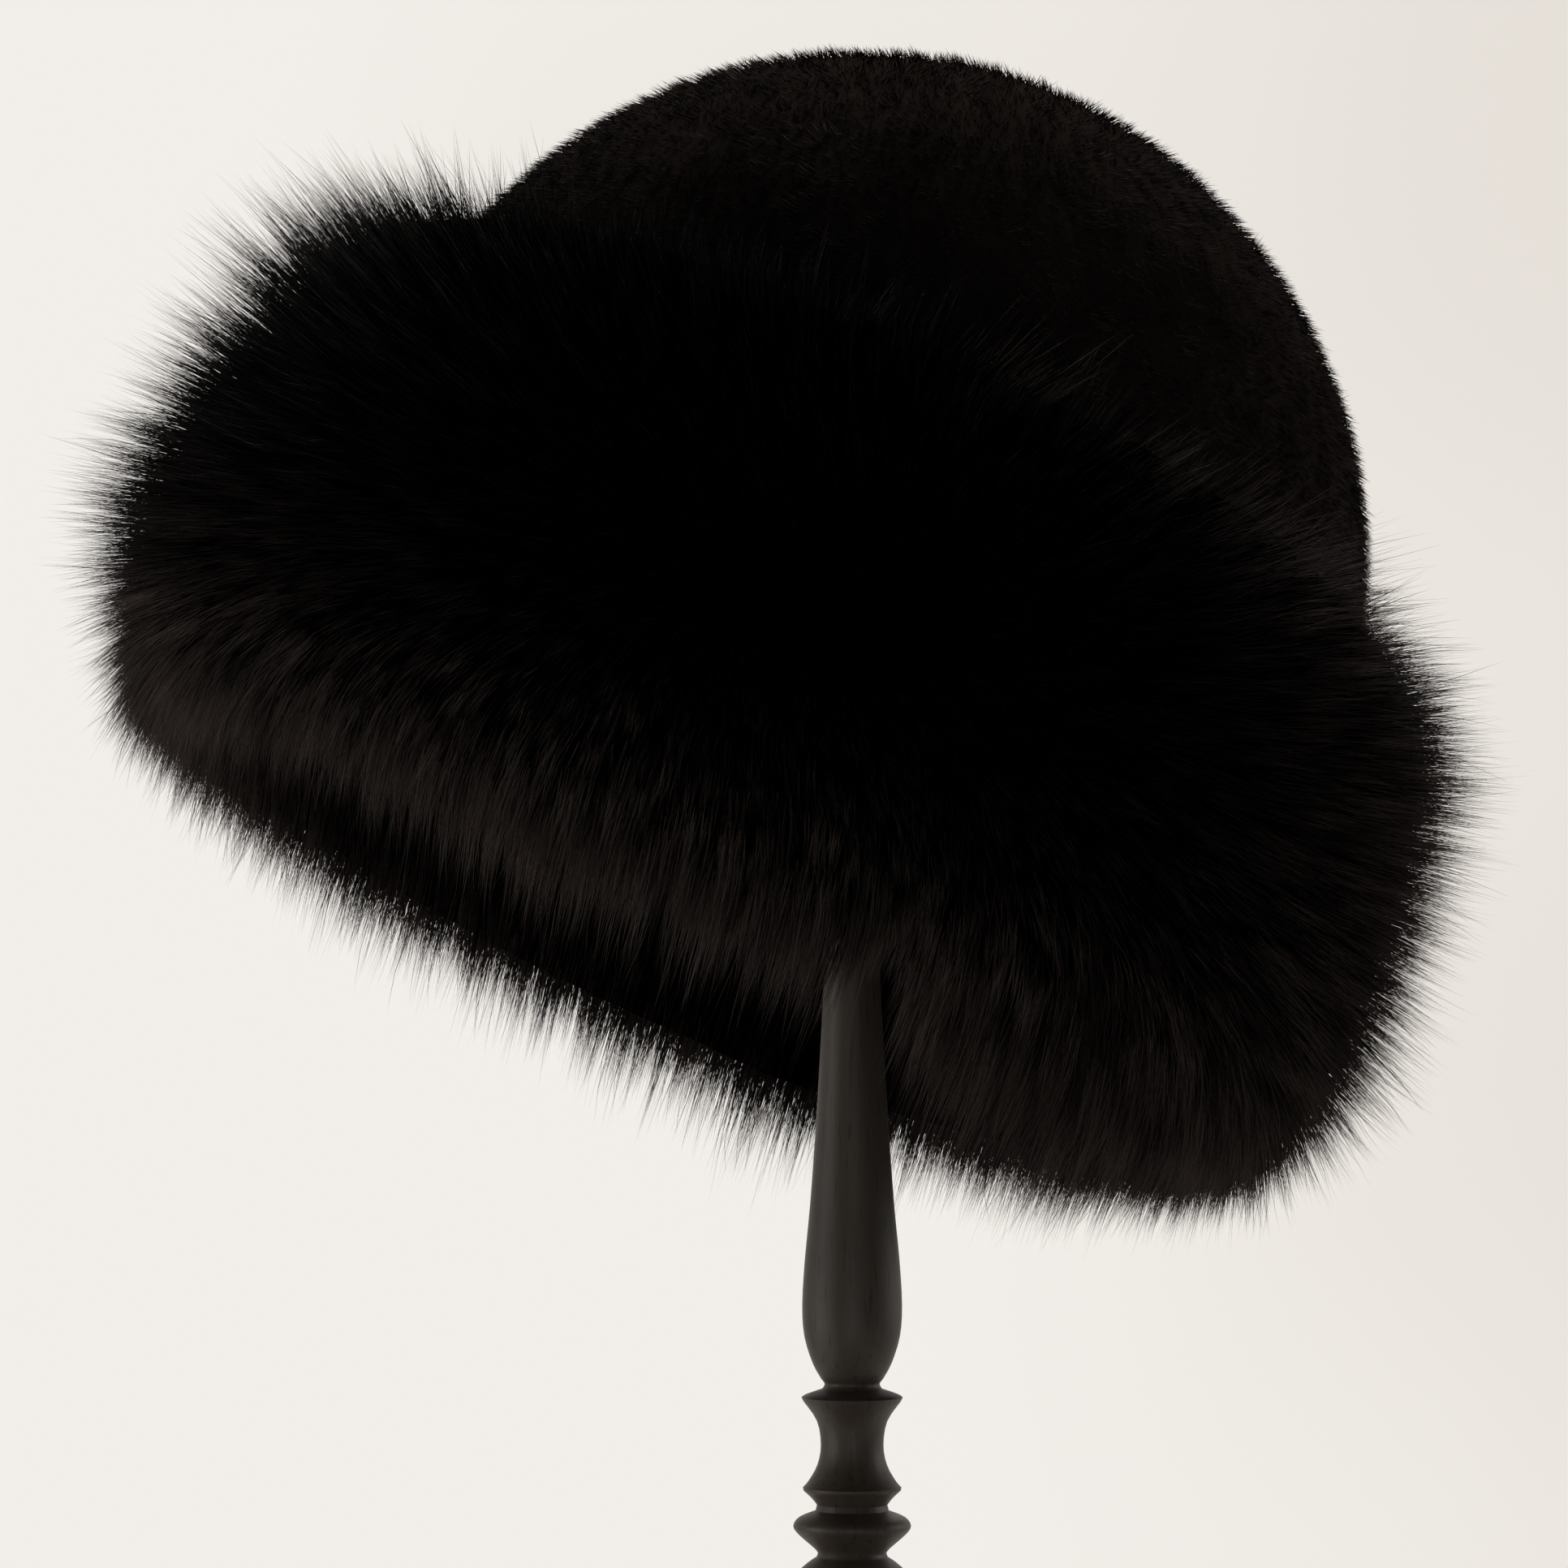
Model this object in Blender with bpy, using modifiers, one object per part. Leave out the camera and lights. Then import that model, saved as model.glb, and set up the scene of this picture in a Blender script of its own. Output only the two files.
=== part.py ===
"""Fur bucket hat on a turned hat stand, in metres, +Z up.

The origin is the middle of the stand's foot on the floor. The hat is modelled upright round its
own crown centre, then tipped to one side and leant back as it sits on the stand's head.
"""

import math
import random

import bmesh
import bpy
from mathutils import Matrix, Vector
from mathutils.bvhtree import BVHTree

MM = 0.001
GAP = 0.3 * MM
WELD = 0.01 * MM
SMOOTH_ANGLE = 40.0

# How the hat sits: its crown centre, its tip towards +X and its lean towards +Y.
CROWN_CENTRE = (3.2 * MM, 2.0 * MM, 283.0 * MM)
HAT_TIP = math.radians(24.0)
HAT_LEAN = math.radians(9.0)

# Crown: a dome a little more pointed than an ellipse, wall of hide and sheared pile.
CROWN_RADIUS = 104.0 * MM
CROWN_HEIGHT = 100.6 * MM
CROWN_WALL = 7.0 * MM
CROWN_POWER = 1.94
CROWN_RIM = 5.6 * MM
CROWN_RINGS = 11

# The hat is a little narrower from front to back, and its brim sits to the -X side.
OVAL = 0.95
BRIM_SHIFT = -2.0 * MM
BRIM_DEPTH = 80.0 * MM
HAT_STEPS = 48

# Brim hide: height above the crown centre and outer radius, from the seam to the edge.
BRIM_WALL = 3.0 * MM
BRIM_LINE = (
    # height, radius
    (5.3, 102.0),
    (-3.4, 104.2),
    (-23.4, 110.0),
    (-43.4, 115.0),
    (-60.0, 117.6),
    (-74.4, 118.6),
)

# Long fur: where a ring of hair grows on the hide and where its tips lie.
FUR_RINGS = (
    # root radius, root height, tip radius, tip height
    (104.8, 10.0, 110.0, 27.0),
    (105.0, 2.0, 124.5, 17.0),
    (107.5, -12.0, 135.0, 1.0),
    (111.0, -26.0, 140.0, -19.0),
    (114.5, -38.0, 142.0, -38.0),
    (117.0, -52.0, 143.0, -57.0),
    (118.5, -64.0, 139.5, -74.0),
    (119.2, -73.0, 131.0, -90.0),
    (118.0, -75.5, 120.0, -100.0),
    (115.0, -75.5, 109.0, -104.0),
    (113.5, -62.0, 103.5, -93.0),
)
# The mat fills this share of the hair's length, and the locks stand on it, each ring turned
# by half a lock from the last so that they lie like tiles.
MAT_SHARE = 0.58
MAT_TOP = 16.0 * MM
MAT_INSIDE = -54.0 * MM
MAT_INSIDE_STEP = 2.0 * MM
RING_TURN = math.pi / HAT_STEPS
FULLER_SIDE = 0.08
LOCK_TIP = 0.34
LOCK_LENGTHS = (0.84, 1.08)
LOCK_SWAY = 2.0 * MM
LOCK_SEED = 7
LOCK_SMOOTH_ANGLE = 30.0

# Stand: a plain dome head, a turned post and a round foot.
HEAD_DOME = 56.0 * MM
HEAD_RADIUS = 40.0 * MM
HEAD_EDGE = 6.0 * MM
HEAD_NECK = 7.5 * MM
HEAD_DEPTH = 30.0 * MM
HEAD_STEPS = 32
HEAD_ARCS = 7
SEAT_HALVINGS = 30
POST_STEPS = 20
POST_TOP_RADIUS = 5.3 * MM
POST_SMOOTH_ANGLE = 50.0
POST_LINE = (
    # height above the floor, radius, from the slender top to the foot
    (197.0, 5.6),
    (179.0, 6.5),
    (162.0, 7.5),
    (145.5, 8.7),
    (134.0, 9.8),
    (124.5, 10.35),
    (118.0, 9.9),
    (112.5, 8.2),
    (108.7, 6.3),
    (107.2, 5.6),
    (106.2, 9.2),
    (105.2, 10.5),
    (104.0, 9.6),
    (100.5, 7.3),
    (95.6, 6.5),
    (91.5, 7.3),
    (88.2, 9.5),
    (86.6, 10.2),
    (85.2, 9.6),
    (83.2, 7.4),
    (82.0, 7.8),
    (80.0, 11.6),
    (78.8, 12.2),
    (77.2, 11.2),
    (74.0, 7.4),
    (72.6, 7.1),
    (71.2, 9.0),
    (68.5, 12.0),
    (65.5, 13.0),
    (62.5, 12.0),
    (59.5, 8.8),
    (58.0, 8.2),
    (50.0, 8.6),
    (40.0, 10.4),
    (32.0, 13.6),
    (27.0, 18.0),
    (24.3, 22.0),
)
BASE_STEPS = 40
BASE_LINE = (
    # height above the floor, radius, from the top of the foot down its rounded edge
    (24.0, 26.0),
    (21.5, 28.0),
    (19.0, 34.0),
    (17.5, 48.0),
    (15.5, 62.0),
    (13.0, 69.5),
    (9.0, 73.0),
    (4.5, 73.0),
    (1.0, 71.0),
    (0.0, 70.0),
)

# Finishes: base colour, roughness and metallic of each material.
FINISHES = {
    "black_fur": ((0.010, 0.008, 0.007), 0.72, 0.0),
    "black_hide": ((0.012, 0.010, 0.009), 0.85, 0.0),
    "dark_wood": ((0.034, 0.028, 0.022), 0.38, 0.0),
}


def clear_scene():
    """Remove whatever objects the file starts with."""
    for ob in list(bpy.data.objects):
        bpy.data.objects.remove(ob, do_unlink=True)


def new_collection(name):
    """Make a collection linked to the scene."""
    collection = bpy.data.collections.new(name)
    bpy.context.scene.collection.children.link(collection)
    return collection


def make_material(name):
    """Make a Principled material from the table of finishes."""
    colour, roughness, metallic = FINISHES[name]
    material = bpy.data.materials.new(name)
    material.use_nodes = True
    shader = material.node_tree.nodes["Principled BSDF"]
    shader.inputs["Base Color"].default_value = (*colour, 1.0)
    shader.inputs["Roughness"].default_value = roughness
    shader.inputs["Metallic"].default_value = metallic
    return material


def metres(line):
    """Turn a table of millimetre rows, height first, into (radius, height) points in metres."""
    return [(radius * MM, height * MM) for height, radius in line]


def turned(name, profile, steps, finish, closed=False):
    """Turn a profile of (radius, height) points, which runs down its outer side, round Z."""
    mesh = bpy.data.meshes.new(name)
    edges = [(i, i + 1) for i in range(len(profile) - 1)]
    if closed:
        edges.append((len(profile) - 1, 0))
    mesh.from_pydata([(radius, 0.0, height) for radius, height in profile], edges, [])
    ob = bpy.data.objects.new(name, mesh)
    parts.objects.link(ob)
    ob.data.materials.append(finish)
    screw = ob.modifiers.new("turn", "SCREW")
    screw.steps = screw.render_steps = steps
    screw.use_merge_vertices = True
    screw.merge_threshold = WELD
    return ob


def apply_turning(ob):
    """Replace an object's profile by its turned mesh, welded, and give it back as a bmesh."""
    graph = bpy.context.evaluated_depsgraph_get()
    mesh = bpy.data.meshes.new_from_object(ob.evaluated_get(graph))
    ob.modifiers.clear()
    ob.data = mesh
    solid = bmesh.new()
    solid.from_mesh(mesh)
    bmesh.ops.remove_doubles(solid, verts=solid.verts, dist=WELD)
    return solid


def finish_mesh(ob, solid, angle=SMOOTH_ANGLE):
    """Write a bmesh back to its object, with its round faces shaded smooth."""
    bmesh.ops.recalc_face_normals(solid, faces=solid.faces)
    solid.to_mesh(ob.data)
    solid.free()
    ob.data.shade_smooth()
    ob.data.set_sharp_from_angle(angle=math.radians(angle))


def shape_as_hat(solid):
    """Make a turned solid oval, with the brim shifted to one side the further it goes down."""
    for vertex in solid.verts:
        below = max(0.0, (CROWN_RIM - vertex.co.z) / BRIM_DEPTH)
        vertex.co.x += BRIM_SHIFT * below
        vertex.co.y *= OVAL


def dome_radius(height, radius, top):
    """Radius of the crown's rounded dome at a height above its centre."""
    return radius * (1.0 - (height / top) ** CROWN_POWER) ** (1.0 / CROWN_POWER)


def dome_line(radius, top):
    """Points of a dome from its top on the axis down to the crown's rim."""
    line = [(0.0, top)]
    lowest = math.asin(CROWN_RIM / top)
    for i in range(1, CROWN_RINGS + 1):
        rise = math.pi / 2 + (lowest - math.pi / 2) * i / CROWN_RINGS
        height = top * math.sin(rise)
        line.append((dome_radius(height, radius, top), height))
    return line


def make_crown(finish):
    """The crown, an open hollow dome of hide and sheared pile."""
    outer = dome_line(CROWN_RADIUS, CROWN_HEIGHT)
    inner = dome_line(CROWN_RADIUS - CROWN_WALL, CROWN_HEIGHT - CROWN_WALL)
    crown = turned("crown", outer + inner[::-1], HAT_STEPS, finish)
    solid = apply_turning(crown)
    shape_as_hat(solid)
    finish_mesh(crown, solid)
    return crown


def make_brim(finish):
    """The brim's hide, a thin wall that flares down and out from the crown's rim."""
    outer = metres(BRIM_LINE)
    inner = [(radius - BRIM_WALL, height) for radius, height in outer]
    brim = turned("brim", outer + inner[::-1], HAT_STEPS, finish, closed=True)
    solid = apply_turning(brim)
    shape_as_hat(solid)
    finish_mesh(brim, solid)
    return brim


def hair_point(ring, share):
    """The (radius, height) point at a share of the hair's length on a ring of the fur table."""
    root_radius, root_height, tip_radius, tip_height = FUR_RINGS[ring]
    radius = root_radius + share * (tip_radius - root_radius)
    height = root_height + share * (tip_height - root_height)
    return Vector((radius * MM, height * MM))


def fur_section():
    """Closed section of the fur's mat: its outer rings, then back up beside the brim's wall."""
    mat = [tuple(hair_point(ring, MAT_SHARE)) for ring in range(len(FUR_RINGS))]
    outer = metres(BRIM_LINE)
    edge_radius, edge_height = outer[-1]
    inside_radius = edge_radius - BRIM_WALL - GAP
    beside = [
        (inside_radius - MAT_INSIDE_STEP, MAT_INSIDE),
        (inside_radius, edge_height - GAP),
        (edge_radius + GAP, edge_height - GAP),
    ]
    beside += [(radius + GAP, height) for radius, height in outer[-2:0:-1]]
    crown_side = dome_radius(CROWN_RIM, CROWN_RADIUS, CROWN_HEIGHT) + GAP
    beside += [(crown_side, CROWN_RIM), (crown_side, MAT_TOP)]
    return mat + beside


def nearest_ring(vertex, section):
    """The index of the section's point that a turned vertex comes from."""
    radius = math.hypot(vertex.co.x, vertex.co.y)
    offs = [math.hypot(radius - ring[0], vertex.co.z - ring[1]) for ring in section]
    return offs.index(min(offs))


def draw_lock(face, ring, chance):
    """Draw one face of the mat out into a tapered lock that ends at its hair's tips."""
    middle = face.calc_center_median()
    turn = math.atan2(middle.y, middle.x)
    root = (hair_point(ring, 0.0) + hair_point(ring + 1, 0.0)) / 2
    tip = (hair_point(ring, 1.0) + hair_point(ring + 1, 1.0)) / 2
    reach = chance.uniform(*LOCK_LENGTHS) * (1.0 - FULLER_SIDE * math.cos(turn))
    end = root + reach * (tip - root)
    sway = Vector([chance.uniform(-LOCK_SWAY, LOCK_SWAY) for axis in range(3)])
    end_point = Vector((end.x * math.cos(turn), end.x * math.sin(turn), end.y)) + sway
    for vertex in face.verts:
        vertex.co = end_point + LOCK_TIP * (vertex.co - middle)


def make_brim_fur(finish):
    """The long fur: a mat round the brim's wall and lower edge with every face drawn to a lock."""
    section = fur_section()
    fur = turned("brim_fur", section, HAT_STEPS, finish, closed=True)
    solid = apply_turning(fur)
    rings = {vertex: nearest_ring(vertex, section) for vertex in solid.verts}
    last = len(FUR_RINGS) - 1
    for vertex, ring in rings.items():
        if ring <= last:
            vertex.co = Matrix.Rotation(RING_TURN * min(ring, last - ring), 3, "Z") @ vertex.co
    outward = []
    for face in solid.faces:
        around = [rings[vertex] for vertex in face.verts]
        if max(around) <= last:
            outward.append((face, min(around)))
    drawn = bmesh.ops.extrude_discrete_faces(solid, faces=[face for face, ring in outward])
    chance = random.Random(LOCK_SEED)
    for face, (old_face, ring) in zip(drawn["faces"], outward):
        draw_lock(face, ring, chance)
    shape_as_hat(solid)
    finish_mesh(fur, solid, LOCK_SMOOTH_ANGLE)
    return fur


def head_line():
    """Profile of the stand's head: a shallow dome, a rounded edge and a cove to its neck."""
    line = []
    widest = math.asin(HEAD_RADIUS / HEAD_DOME)
    for i in range(HEAD_ARCS + 1):
        angle = widest * i / HEAD_ARCS
        line.append((HEAD_DOME * math.sin(angle), -HEAD_DOME * (1.0 - math.cos(angle))))
    edge_radius, edge_height = line[-1]
    line.append((edge_radius, edge_height - HEAD_EDGE))
    cove = HEAD_DEPTH + edge_height - HEAD_EDGE
    for i in range(1, HEAD_ARCS + 1):
        angle = math.pi / 2 * i / HEAD_ARCS
        radius = HEAD_NECK + (edge_radius - HEAD_NECK) * (1.0 - math.sin(angle))
        line.append((radius, edge_height - HEAD_EDGE - cove * (1.0 - math.cos(angle))))
    line.append((0.0, line[-1][1]))
    return line


def clearance(head, height, crown_tree):
    """Least distance from the head, with its top at a height, to the crown's inside."""
    least = CROWN_RADIUS
    for vertex in head.data.vertices:
        point = vertex.co + Vector((0.0, 0.0, height))
        nearest, normal, index, distance = crown_tree.find_nearest(point)
        side = 1.0 if (point - nearest).dot(normal) > 0.0 else -1.0
        least = min(least, side * distance)
    return least


def make_head(finish, crown):
    """The stand's head, raised until the crown rests on it."""
    head = turned("stand_head", head_line(), HEAD_STEPS, finish)
    finish_mesh(head, apply_turning(head))
    bpy.context.view_layer.update()
    inside = bmesh.new()
    inside.from_mesh(crown.data)
    inside.transform(crown.matrix_world)
    crown_tree = BVHTree.FromBMesh(inside)
    inside.free()
    low, high = CROWN_CENTRE[2], CROWN_CENTRE[2] + CROWN_HEIGHT
    for halving in range(SEAT_HALVINGS):
        middle = (low + high) / 2
        if clearance(head, middle, crown_tree) > GAP:
            low = middle
        else:
            high = middle
    head.location.z = low
    return head


def make_post(finish, top):
    """The turned post, from under the head down to the foot."""
    line = [(0.0, top), (POST_TOP_RADIUS, top)] + metres(POST_LINE)
    line.append((0.0, line[-1][1]))
    post = turned("stand_post", line, POST_STEPS, finish)
    finish_mesh(post, apply_turning(post), POST_SMOOTH_ANGLE)
    return post


def make_base(finish):
    """The stand's round foot."""
    line = metres(BASE_LINE)
    line = [(0.0, line[0][1])] + line + [(0.0, 0.0)]
    base = turned("stand_base", line, BASE_STEPS, finish)
    finish_mesh(base, apply_turning(base))
    return base


clear_scene()
parts = new_collection("fur_bucket_hat_on_stand")
finishes = {name: make_material(name) for name in FINISHES}

hat_place = bpy.data.objects.new("hat_place", None)
parts.objects.link(hat_place)
hat_place.location = CROWN_CENTRE
hat_place.rotation_euler = (-HAT_LEAN, HAT_TIP, 0.0)

crown = make_crown(finishes["black_fur"])
brim = make_brim(finishes["black_hide"])
brim_fur = make_brim_fur(finishes["black_fur"])
for piece in (crown, brim, brim_fur):
    piece.parent = hat_place
bpy.context.view_layer.update()

stand_head = make_head(finishes["dark_wood"], crown)
make_post(finishes["dark_wood"], stand_head.location.z - HEAD_DEPTH - GAP)
make_base(finishes["dark_wood"])
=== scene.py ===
"""Looks of a fur bucket hat on its turned hat stand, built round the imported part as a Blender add-on.

The hat is made upright round the middle of its crown and then placed as it sits on the stand. Its
fur is real hair geometry: sheared pile on the crown, and on the brim a dense underfur with long
guard hair over it, all grown in tufts from the same rings of roots and tips as the part's own fur.
"""

import math

import bmesh
import bpy
import numpy as np
from bpy.props import FloatProperty, FloatVectorProperty, IntProperty, PointerProperty
from mathutils import Euler, Matrix, Vector, noise
from mathutils.kdtree import KDTree


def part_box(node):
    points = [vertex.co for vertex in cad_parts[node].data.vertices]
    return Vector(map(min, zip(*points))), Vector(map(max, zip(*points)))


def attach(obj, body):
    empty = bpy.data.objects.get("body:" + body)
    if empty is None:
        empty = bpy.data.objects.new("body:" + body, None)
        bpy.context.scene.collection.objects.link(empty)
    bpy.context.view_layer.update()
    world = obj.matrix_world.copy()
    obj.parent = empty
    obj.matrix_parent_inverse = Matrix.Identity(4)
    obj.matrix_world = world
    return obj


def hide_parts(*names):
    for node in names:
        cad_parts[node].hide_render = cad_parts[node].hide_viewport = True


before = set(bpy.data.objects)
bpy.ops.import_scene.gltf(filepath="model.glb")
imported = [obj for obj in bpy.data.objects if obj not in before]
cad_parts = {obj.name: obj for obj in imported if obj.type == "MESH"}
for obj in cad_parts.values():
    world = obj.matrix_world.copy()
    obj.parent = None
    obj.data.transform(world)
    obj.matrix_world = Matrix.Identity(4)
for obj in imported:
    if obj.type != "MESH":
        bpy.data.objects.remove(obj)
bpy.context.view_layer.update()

bl_info = {
    "name": "Fur Bucket Hat",
    "version": (1, 0, 0),
    "blender": (4, 5, 0),
    "location": "3D View > Sidebar > Fur Hat",
    "description": "Dresses a fur bucket hat and its stand: pile, underfur, guard hair, hide and wood",
    "category": "Object",
}

MM = 0.001
FULL_TURN = 2.0 * math.pi
BODY = "root"

# How the hat sits, as in the part: its crown centre, its tip towards +X and its lean towards +Y.
CROWN_CENTRE = Vector((3.2, 2.0, 283.0)) * MM
HAT_TIP = math.radians(24.0)
HAT_LEAN = math.radians(9.0)
HAT_PLACE = Matrix.Translation(CROWN_CENTRE) @ Euler((-HAT_LEAN, HAT_TIP, 0.0)).to_matrix().to_4x4()

# The crown's dome and the hat's oval, as in the part.
CROWN_RADIUS = 104.0 * MM
CROWN_HEIGHT = 100.6 * MM
CROWN_WALL = 7.0 * MM
CROWN_POWER = 1.94
CROWN_RIM = 5.6 * MM
OVAL = 0.95
BRIM_SHIFT = -2.0 * MM
BRIM_DEPTH = 80.0 * MM

# Brim hide: height above the crown centre and outer radius, from the seam to the edge.
BRIM_WALL = 3.0 * MM
BRIM_LINE = ((5.3, 102.0), (-3.4, 104.2), (-23.4, 110.0), (-43.4, 115.0), (-60.0, 117.6), (-74.4, 118.6))
WALL_HEIGHTS, WALL_RADII = np.array(BRIM_LINE).T * MM

# Long fur, from the joint with the crown, over the shoulder and the side, to inside the lower edge.
# Each row says where its hair grows and where its tips lie, in millimetres, how far it hangs towards the
# floor as a share of its length, how thick it grows, and by what share it is longer on the hat's raised
# left side (-X) and on its low right side (+X). The last column is how brown the hair is, from black to
# the full brown of the lower fringe; this brown is partly the hair's own and partly painted light,
# standing in for the band of the lower fringe that the light from below catches.
FUR_RINGS = (
    # root radius, root height, tip radius, tip height, hang, growth, left, right, brown with painted light
    (104.0, 12.5, 107.5, 25.0, 0.00, 1.3, -0.40, -0.50, 0.16),
    (104.8, 9.5, 115.0, 26.0, 0.02, 1.4, -0.15, -0.40, 0.16),
    (105.0, 2.0, 128.5, 18.0, 0.03, 1.1, 0.20, -0.10, 0.14),
    (107.5, -12.0, 138.0, 1.5, 0.03, 1.0, 0.26, 0.04, 0.10),
    (111.0, -26.0, 141.0, -18.5, 0.04, 1.0, 0.26, 0.09, 0.08),
    (114.5, -38.0, 143.0, -38.0, 0.05, 1.0, 0.30, 0.12, 0.08),
    (117.0, -52.0, 144.0, -57.5, 0.10, 1.0, 0.28, 0.16, 0.16),
    (118.5, -64.0, 141.0, -75.0, 0.20, 1.1, 0.06, 0.16, 0.40),
    (119.2, -73.0, 131.5, -94.0, 0.40, 1.5, -0.08, 0.00, 0.80),
    (118.0, -75.5, 121.0, -109.5, 0.60, 2.6, -0.24, -0.23, 1.00),
    (115.0, -75.5, 109.0, -113.0, 0.60, 2.8, -0.27, -0.26, 0.90),
    (113.5, -62.0, 102.5, -99.0, 0.50, 1.8, -0.10, -0.10, 0.30),
)
FUR_LINES = np.array(FUR_RINGS)[:, :4] * MM
FUR_HABITS = np.array(FUR_RINGS)[:, 4:]
LAST_RING = len(FUR_RINGS) - 1
FINE_RINGS = np.linspace(0.0, LAST_RING, 400)
# Patches where the hair differs: place round the brim and reach in degrees (0 is +X, -90 the near side),
# place and reach along the rows above, extra length as a share, extra brown, which is painted light (more
# brown where strands catch the light, less where the fringe lies darker), and how many millimetres the
# tips are combed round towards the right and flared outwards.
FUR_PATCHES = (
    (-49.0, 19.0, 9.5, 2.0, 0.41, 0.0, 0.0, 0.0),
    (-71.0, 3.8, 9.5, 2.0, -0.55, 0.0, 0.0, 0.0),
    (-104.0, 9.0, 9.5, 2.0, 0.08, 0.0, 0.0, 0.0),
    (-30.0, 16.0, 9.0, 1.8, 0.0, -0.38, 0.0, 0.0),
    (-108.0, 10.0, 9.2, 1.6, 0.0, 0.50, 0.0, 0.0),
    (74.0, 6.0, 9.5, 2.0, 0.13, 0.0, 0.0, 0.0),
    (-47.0, 15.0, 1.3, 1.4, 0.15, 1.30, 11.0, 0.0),
    (-69.0, 4.0, 1.0, 0.9, 0.15, 1.00, 11.0, 0.0),
    (-84.0, 5.0, 1.0, 0.9, 0.15, 1.00, 11.0, 0.0),
    (-102.0, 3.0, 0.8, 0.7, 0.10, 0.60, 7.0, 0.0),
    (-168.0, 26.0, 7.8, 1.0, 0.0, 0.20, 0.0, 0.0),
    (-15.0, 32.0, 5.0, 3.5, 0.0, 0.85, 0.0, 0.0),
    (-6.0, 28.0, 9.3, 1.8, -0.11, 0.0, 0.0, 6.0),
)

# Tufts and lengths of the long fur, as shares of the distance from root to tip.
TUFT_SPACING = 4.2 * MM
TUFT_LENGTHS = (0.94, 1.05)
TUFT_PULLS = (0.5, 1.35)
GUARD_LENGTHS = (0.95, 1.20)
UNDER_LENGTHS = (0.70, 1.01)
SHORT_FUR_LENGTHS = (0.62, 0.90)
GUARD_SHARE = 0.30
# Each hair arches and curls by these shares of its length.
HAIR_ARCH = 0.09
ARCH_SPREAD = (0.0, 2.0)
HAIR_CURL = 0.05
# Shares by which the hair hangs less at the raised left side and at the low right side, and how
# much of the hang its bend takes part in.
LEFT_LIFT = 0.85
RIGHT_LIFT = 0.7
BEND_HANG = 0.3
# How far tufts, hairs and the fur's broad waves stray.
TUFT_SWAY = 1.4 * MM
HAIR_SWAY = 0.8 * MM
FLOW_SWAY = 3.0 * MM
# Broad waves: how many go round the brim, their shift along the rows, their start and their share.
FLOW_WAVES = ((3.0, 0.7, 1.3, 1.0), (7.0, -0.9, 0.4, 0.6))
# Down to this row from the joint with the crown the hair's length is more uneven: its distance from
# the middle length doubles, less a share, and it rises and falls in waves and from tuft to tuft.
JOINT_ROW = 2.2
JOINT_MIDDLE = 0.95
JOINT_SHORTER = 0.10
JOINT_UNEVEN = 0.07
JOINT_WAVES = ((23.0, 1.0), (57.0, 0.3))
JOINT_TUFTS = 1.5
# A hair's tone: the shares of its tuft and of its own chance, and their contrast and drop.
TONE_SHARES = (0.7, 0.3)
TONE_CONTRAST = 1.8
TONE_DROP = 0.05

# Each hair is drawn from this share of its length, inside the mat, out to its tip. A bent one has a
# bend on the way, where it is this much thinner than at its start.
HAIR_START = 0.42
HAIR_BEND = 0.72
BEND_WIDTH = 0.72
GUARD_WIDTHS = (0.75, 1.3)
# Half the width of a hair's strip on its piece's map.
STRIP_HALF = 0.012

# The underfur's spikes: pull of their tufts, spread of their widths, and how light and brown they are.
UNDERFUR_PULL = 0.35
UNDERFUR_WIDTHS = (0.6, 1.3)
UNDERFUR_TONE = 0.8
UNDERFUR_BROWN = 0.55
# The underfur's mat, which ends at a share of the hair's length.
FIRST_MAT_RING = 1
MAT_STEPS = 41
MAT_RINGS = np.linspace(FIRST_MAT_RING, LAST_RING, MAT_STEPS)
MAT_SHARE = 0.57
MAT_TOP = 15.0 * MM
MAT_INSIDE = -54.0 * MM
MAT_INNER_BULGE = 2.0 * MM
MAT_GAP = 0.3 * MM
MAT_ROUGHNESS = 1.2 * MM
MAT_LUMPS = 120.0
MAT_SMOOTH_DEPTH = 8.0 * MM
# How much of the hair's extra length the mat takes part in.
MAT_FOLLOWS = 0.4

# Sheared pile of the crown: area of the scalp, spacing of the tufts and lengths of the hairs.
SCALP_DROP = 0.5 * MM
SCALP_AREA = 65000 * MM**2
PILE_TUFT = 5.0 * MM
PILE_LENGTHS = (3.0 * MM, 4.6 * MM)
PILE_LONG = 5.4 * MM
PILE_LONG_SHARE = 0.08
PILE_WIDTHS = (0.75, 1.25)
PILE_ROOT_DEPTH = 0.6 * MM
PILE_ARCH = 0.18
# Its lean down the dome for each tuft and hair, and its swirl in radians from tufts, hairs and noise.
TUFT_LEANS = (1.2, 2.0)
HAIR_LEANS = (0.7, 1.3)
TUFT_SWIRL = 0.45
HAIR_SWIRL = 0.25
SWIRL_FLOW = 1.1
SWIRL_FINENESS = 28.0
PILE_PULL = 0.06
PILE_PULL_HEIGHT = 0.6
# Its tone: middle, lighter and darker streaks up the hat, patches of two sizes, and single hairs.
PILE_TONE = 0.78
STREAK_TONE = 0.9
STREAK_FINENESS = np.array((190.0, 190.0, 38.0))
PATCH_TONE = 0.4
PATCH_FINENESS = 45.0
SMALL_PATCH_TONE = 0.6
SMALL_PATCH_FINENESS = 150.0
SINGLE_TONE = 0.4

# Stand's head: a shallow dome with a rounded edge and a cove down to its neck.
HEAD_DOME = 56.0 * MM
HEAD_RADIUS = 40.0 * MM
HEAD_EDGE = 6.0 * MM
HEAD_NECK = 7.5 * MM
HEAD_DEPTH = 30.0 * MM
HEAD_ARCS = 14
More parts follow.
